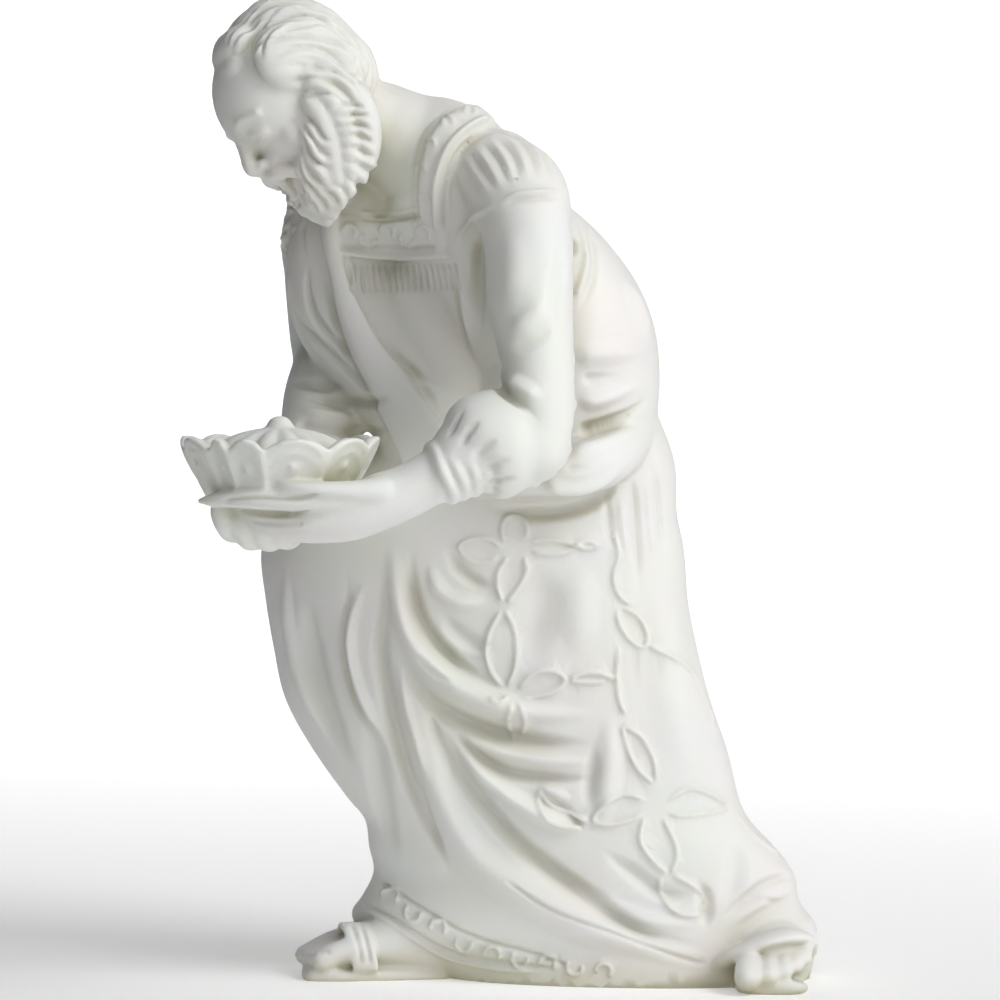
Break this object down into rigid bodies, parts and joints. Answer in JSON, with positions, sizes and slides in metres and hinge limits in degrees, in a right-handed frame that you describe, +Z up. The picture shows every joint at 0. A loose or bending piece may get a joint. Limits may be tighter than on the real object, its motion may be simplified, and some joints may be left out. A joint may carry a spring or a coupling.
{
  "type": "nativity wise man figurine",
  "caption": "Standing cast figure of a robed, bearded wise man who bows forward and offers a petalled bowl in both hands.",
  "frame": {"origin": "middle of the figure's box on the ground plane that it stands on", "axes": "+Z up, -Y is the side the figure is shown from, -X is the way it bows and offers the bowl"},
  "size_m": [0.1398, 0.0886, 0.2181],
  "materials": {
    "bisque": "unglazed white bisque porcelain, matt"
  },
  "bodies": {
    "root": {"figure": "bisque"}
  },
  "joints": []
}
